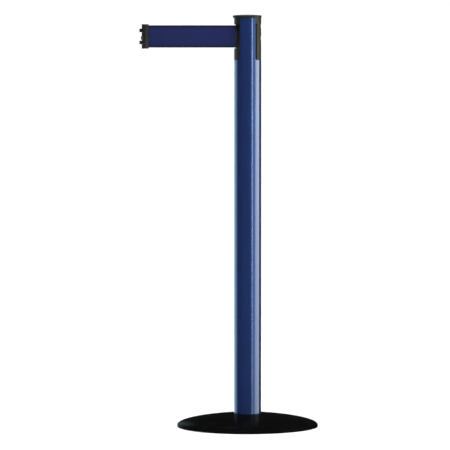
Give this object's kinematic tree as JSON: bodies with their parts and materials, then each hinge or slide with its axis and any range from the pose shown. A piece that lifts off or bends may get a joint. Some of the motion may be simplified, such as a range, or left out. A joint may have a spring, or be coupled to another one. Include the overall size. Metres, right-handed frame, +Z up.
{
  "type": "retractable belt stanchion",
  "caption": "Free-standing crowd-control post with a weighted round base, a spring-wound belt drawn from its head and a slot receiver for a neighbour's belt.",
  "frame": {"origin": "centre of the round base on the floor", "axes": "+Z up along the post, the belt leaves towards -X, the receiver for a neighbour's belt faces +X"},
  "size_m": [0.4174, 0.33, 0.965],
  "materials": {
    "post_blue": "gloss dark blue coat over steel tube",
    "black_plastic": "fine-grained moulded black plastic",
    "roller_plastic": "smooth black acetal",
    "dark_screw": "black oxide",
    "zinc_steel": "zinc plated",
    "spring_steel": "blued spring steel",
    "spool_plastic": "natural moulded plastic",
    "bronze": "sintered bronze",
    "aluminium": "turned aluminium",
    "lining": "pressed friction lining",
    "webbing": "woven navy polyester webbing",
    "latch_grey": "dark grey moulded plastic",
    "cast_iron": "as cast, sealed",
    "base_black": "satin black coat over pressed steel",
    "rubber": "moulded black rubber"
  },
  "bodies": {
    "post": {"post_tube": "post_blue", "top_cap": "black_plastic", "cap_screws": "dark_screw", "outlet_insert": "black_plastic", "receiver_insert": "black_plastic", "upper_deck": "black_plastic", "lower_deck": "black_plastic", "tie_screws": "zinc_steel", "roller_pins": "zinc_steel", "spool_shaft": "zinc_steel", "shaft_clip": "spring_steel", "brake_drum": "zinc_steel", "belt_inner_run": "webbing", "post_plug": "zinc_steel", "base_weight": "cast_iron", "base_cover": "base_black", "floor_ring": "rubber", "base_bolt": "zinc_steel", "base_washer": "zinc_steel", "lock_washer": "spring_steel"},
    "spool": {"spool_core": "spool_plastic", "upper_flange": "spool_plastic", "lower_flange": "spool_plastic", "upper_bush": "bronze", "lower_bush": "bronze", "spring_barrel": "zinc_steel", "spring_lid": "zinc_steel", "power_spring": "spring_steel", "brake_rotor": "aluminium", "brake_pins": "zinc_steel", "garter_spring": "spring_steel", "belt_roll": "webbing"},
    "shoe_a": {"brake_shoe_a": "bronze", "brake_lining_a": "lining"},
    "shoe_b": {"brake_shoe_b": "bronze", "brake_lining_b": "lining"},
    "roller_back": {"guide_roller_back": "roller_plastic"},
    "roller_front": {"guide_roller_front": "roller_plastic"},
    "belt_end": {"belt_web": "webbing", "belt_hem": "webbing", "belt_end_front": "black_plastic", "belt_end_back": "black_plastic", "belt_end_bar": "zinc_steel", "belt_end_screws": "dark_screw", "latch_spring": "spring_steel"},
    "latch": {"latch_slide": "latch_grey"}
  },
  "joints": [
    {"name": "belt_pull", "type": "slide", "parent": "post", "child": "belt_end", "axis": [-1, 0, 0], "range_m": [-0.1985, 2.05], "deforming": ["belt_web"]},
    {"name": "spool_spin", "type": "hinge", "parent": "post", "child": "spool", "pos_m": [0, 0, 0.9145], "axis": [0, 0, 1], "continuous": true, "deforming": ["power_spring"]},
    {"name": "roller_back_spin", "type": "hinge", "parent": "post", "child": "roller_back", "pos_m": [-0.0264, 0.00265, 0.9145], "axis": [0, 0, 1], "continuous": true},
    {"name": "roller_front_spin", "type": "hinge", "parent": "post", "child": "roller_front", "pos_m": [-0.0264, -0.00265, 0.9145], "axis": [0, 0, 1], "continuous": true},
    {"name": "shoe_a_swing", "type": "hinge", "parent": "spool", "child": "shoe_a", "pos_m": [0.0143, 0, 0.8542], "axis": [0, 0, -1], "range_deg": [0, 3], "stiffness_Nm_per_rad": 0.5, "deforming": ["garter_spring"]},
    {"name": "shoe_b_swing", "type": "hinge", "parent": "spool", "child": "shoe_b", "pos_m": [-0.0143, 0, 0.8542], "axis": [0, 0, -1], "range_deg": [0, 3], "stiffness_Nm_per_rad": 0.5},
    {"name": "latch_draw", "type": "slide", "parent": "belt_end", "child": "latch", "axis": [1, 0, 0], "range_m": [0, 0.0022], "stiffness_N_per_m": 400, "deforming": ["latch_spring"]}
  ],
  "couplings": [
    {"joint": "spool_spin", "follows": "belt_pull", "rad_per_m": 46.5},
    {"joint": "roller_back_spin", "follows": "belt_pull", "rad_per_m": -500},
    {"joint": "roller_front_spin", "follows": "belt_pull", "rad_per_m": 500}
  ]
}
